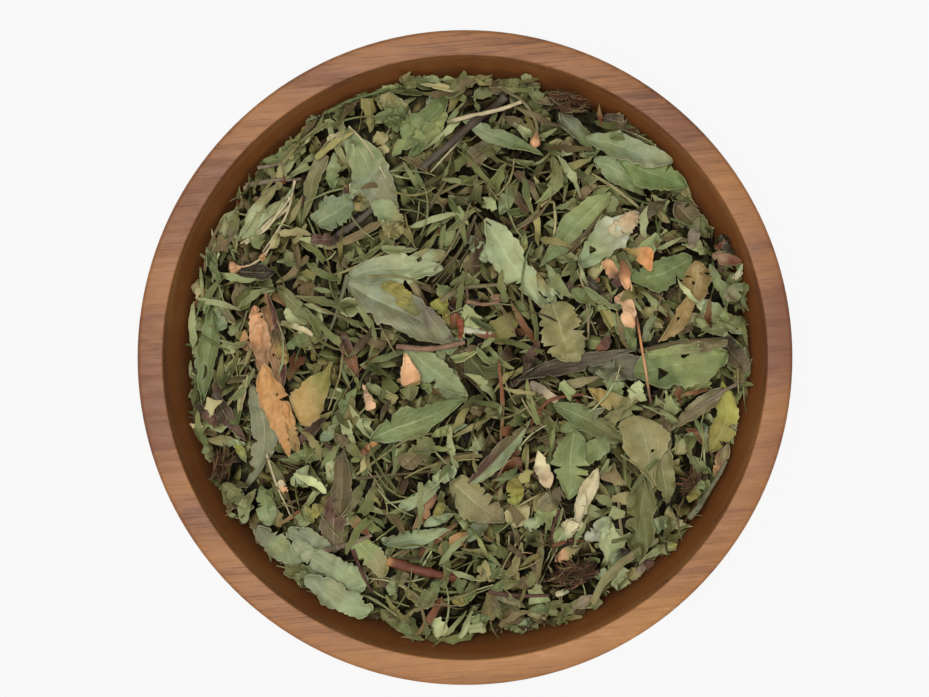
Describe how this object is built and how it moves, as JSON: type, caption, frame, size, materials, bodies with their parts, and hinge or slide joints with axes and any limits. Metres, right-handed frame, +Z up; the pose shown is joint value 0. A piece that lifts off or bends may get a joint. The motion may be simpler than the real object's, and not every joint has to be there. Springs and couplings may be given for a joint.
{
  "type": "wooden bowl of dried stevia leaf",
  "caption": "Round turned wooden bowl on a flat foot, heaped with dried, cut stevia: a bed of leaf cuttings under whole curled leaves, stems and dried flower tufts.",
  "frame": {"origin": "middle of the bowl's flat foot, where it meets the surface it stands on", "axes": "+Z up along the bowl's turning axis; +X to the right and +Y to the top of the heap as seen from above"},
  "size_m": [0.15, 0.15, 0.055],
  "materials": {
    "wood": "satin",
    "mix": "matte",
    "sage": "matte",
    "mint": "matte",
    "green": "matte",
    "fresh": "matte",
    "olive": "matte",
    "yellow": "matte",
    "straw": "matte",
    "cream": "matte",
    "gold": "matte",
    "tan": "matte",
    "teal": "matte",
    "grey": "matte",
    "drab": "matte",
    "bark": "matte",
    "dark": "matte",
    "red": "matte",
    "peach": "matte"
  },
  "bodies": {
    "root": {"bowl": "wood", "leaf_bed": "mix", "stem_pale_left": "straw", "stem_bud_left": "tan", "stem_dark_left": "dark", "stem_dark_upper": "dark", "stem_bud_upper": "tan", "stem_cream_upper": "cream", "stem_brown_middle": "red", "stem_level_middle": "red", "stem_red_lower": "red", "stem_thin_right": "straw", "leaf_left_edge": "green", "leaf_olive_edge": "olive", "leaf_yellow_edge": "yellow", "leaf_grey_hanging": "grey", "leaf_teal_toothed": "teal", "leaf_olive_strap": "drab", "leaf_grey_slender": "grey", "leaf_sage_middle": "sage", "leaf_green_upper": "green", "leaf_sage_upper": "sage", "leaf_yellow_green_long": "green", "leaf_cream_tipped": "cream", "leaf_green_right": "green", "leaf_gold": "gold", "leaf_green_broad": "green", "leaf_dark_folded": "dark", "leaf_green_ragged": "olive", "leaf_pale_broad": "sage", "leaf_teal_curled": "teal", "leaf_grey_long": "grey", "leaf_sage_centre": "sage", "leaf_mint_centre": "mint", "leaf_fresh_long": "fresh", "leaf_crumpled": "straw", "leaf_sage_right": "sage", "leaf_spatulate_under": "olive", "leaf_spatulate_side": "straw", "leaf_spatulate": "straw", "leaf_spear": "drab", "leaf_green_lower": "mint", "leaf_cream_lower": "cream", "leaf_tan_broad": "drab", "leaf_purple_folded": "dark", "leaf_green_veined": "green", "leaf_orange_tipped": "olive", "leaf_yellow_broad": "yellow", "leaf_tan_long": "tan", "leaf_grey_brown": "bark", "leaf_teal_lower": "teal", "leaf_sage_toothed_1": "sage", "leaf_sage_toothed_2": "sage", "leaf_sage_toothed_3": "sage", "leaf_sage_toothed_4": "sage", "tuft_upper": "red", "tuft_left": "dark", "tuft_lower": "red", "tuft_petals": "peach"}
  },
  "joints": []
}
